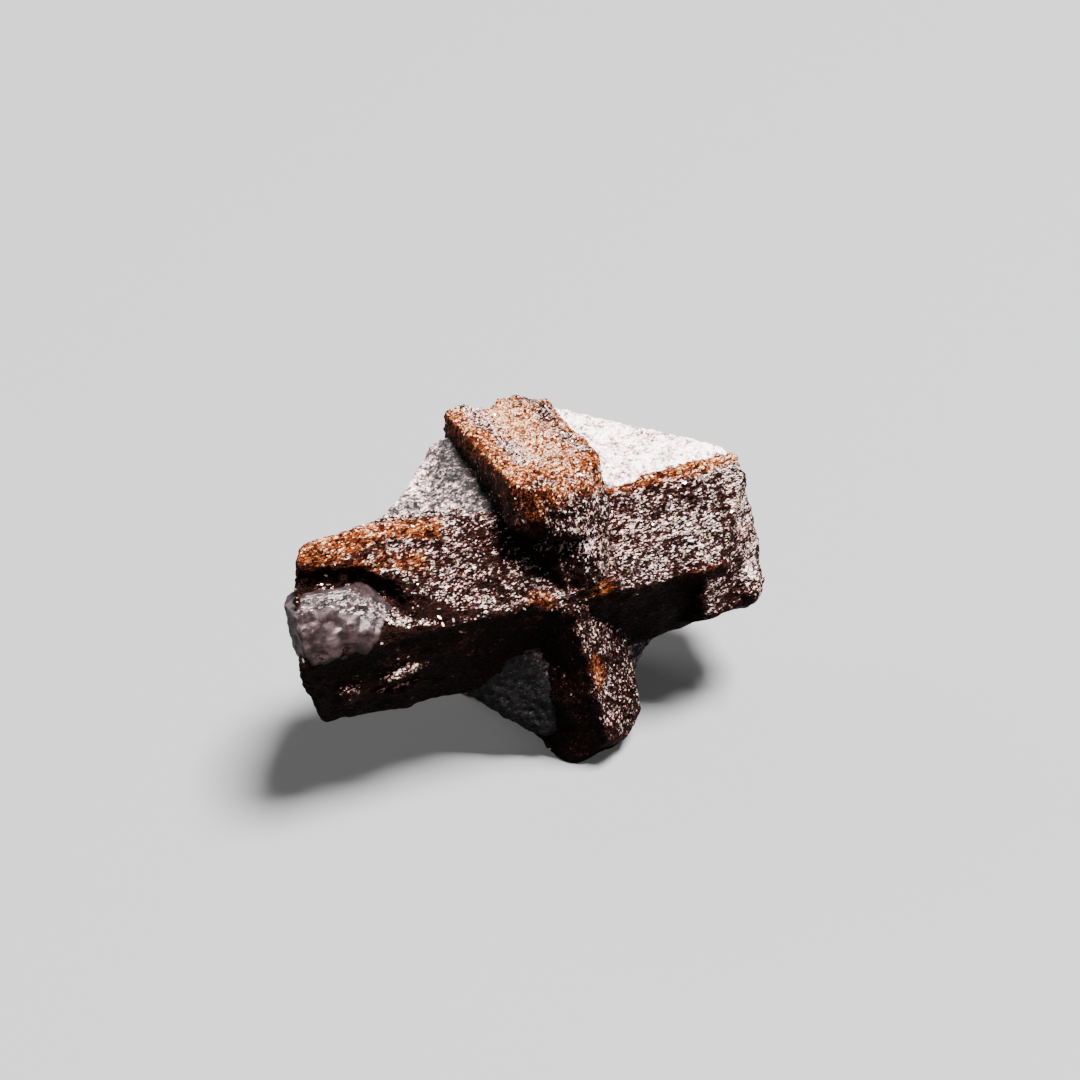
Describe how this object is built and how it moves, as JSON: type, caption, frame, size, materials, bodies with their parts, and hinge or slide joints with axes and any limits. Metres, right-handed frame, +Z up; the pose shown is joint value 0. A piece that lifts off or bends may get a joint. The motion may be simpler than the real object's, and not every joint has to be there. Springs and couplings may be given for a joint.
{
  "type": "staurolite cross",
  "caption": "Natural cross of intergrown staurolite crystals with pale matrix left between its arms, standing on the worn end of its shorter crystal.",
  "frame": {"origin": "on the ground, below the middle of the stone's overall box", "axes": "+X along the long crystal towards its blunt end, +Z up, the face with both ridges looks to -Y and leans back"},
  "size_m": [0.0366, 0.0182, 0.0227],
  "materials": {
    "staurolite": "rough, dark red-brown, full of fine pale mica and quartz flecks, rust-orange on worn edges",
    "matrix_rock": "fine-grained pale pinkish-grey mica schist, weathered smooth",
    "quartz": "cloudy pinkish-grey quartz, slightly see-through",
    "mica": "small bright silvery flakes"
  },
  "bodies": {
    "root": {"staurolite_cross": "staurolite"}
  },
  "joints": []
}
